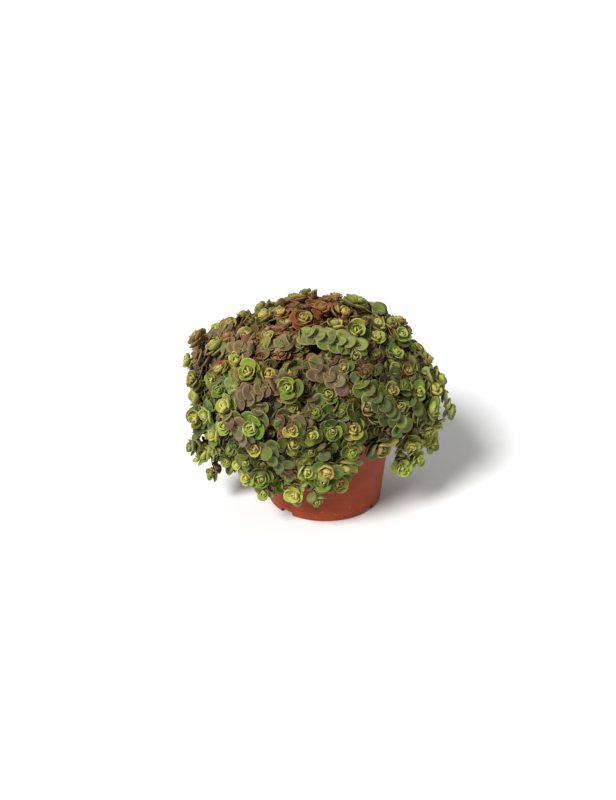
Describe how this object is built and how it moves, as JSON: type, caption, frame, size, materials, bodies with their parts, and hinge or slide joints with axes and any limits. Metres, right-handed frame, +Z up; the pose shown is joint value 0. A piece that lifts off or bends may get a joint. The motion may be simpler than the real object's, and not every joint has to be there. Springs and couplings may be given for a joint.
{
  "type": "potted coral reef sedum",
  "caption": "Mound of creeping succulent shoots with round-leaved rosettes, spilling over a tapered plastic nursery pot with a rim band and foot notches.",
  "frame": {"origin": "middle of the pot's underside, on the surface that the pot stands on", "axes": "+Z up, -Y towards the side that the picture shows, +X to its right"},
  "size_m": [0.2299, 0.2121, 0.1956],
  "materials": {
    "pot": "terracotta-coloured moulded plastic, satin",
    "soil": "damp peat-based compost",
    "foliage": "fleshy matte leaves, green to bronze, with a fine pale margin"
  },
  "bodies": {
    "root": {"pot": "pot", "soil": "soil", "shoot_01": "foliage", "shoot_02": "foliage", "shoot_03": "foliage", "shoot_04": "foliage", "shoot_05": "foliage", "shoot_06": "foliage", "shoot_07": "foliage", "shoot_08": "foliage", "shoot_09": "foliage", "shoot_10": "foliage", "shoot_11": "foliage", "shoot_12": "foliage", "shoot_13": "foliage", "shoot_14": "foliage", "shoot_15": "foliage", "shoot_16": "foliage", "shoot_17": "foliage", "shoot_18": "foliage", "shoot_19": "foliage", "shoot_20": "foliage", "shoot_21": "foliage", "shoot_22": "foliage", "shoot_23": "foliage", "shoot_24": "foliage", "shoot_25": "foliage", "shoot_26": "foliage", "shoot_27": "foliage", "shoot_28": "foliage", "shoot_29": "foliage", "shoot_30": "foliage", "shoot_31": "foliage", "shoot_32": "foliage", "shoot_33": "foliage", "shoot_34": "foliage", "shoot_35": "foliage", "shoot_36": "foliage", "shoot_37": "foliage", "shoot_38": "foliage", "shoot_39": "foliage", "shoot_40": "foliage", "shoot_41": "foliage", "shoot_42": "foliage", "shoot_43": "foliage", "shoot_44": "foliage", "shoot_45": "foliage", "shoot_46": "foliage", "shoot_47": "foliage", "shoot_48": "foliage", "shoot_49": "foliage", "shoot_50": "foliage", "shoot_51": "foliage", "shoot_52": "foliage"}
  },
  "joints": []
}
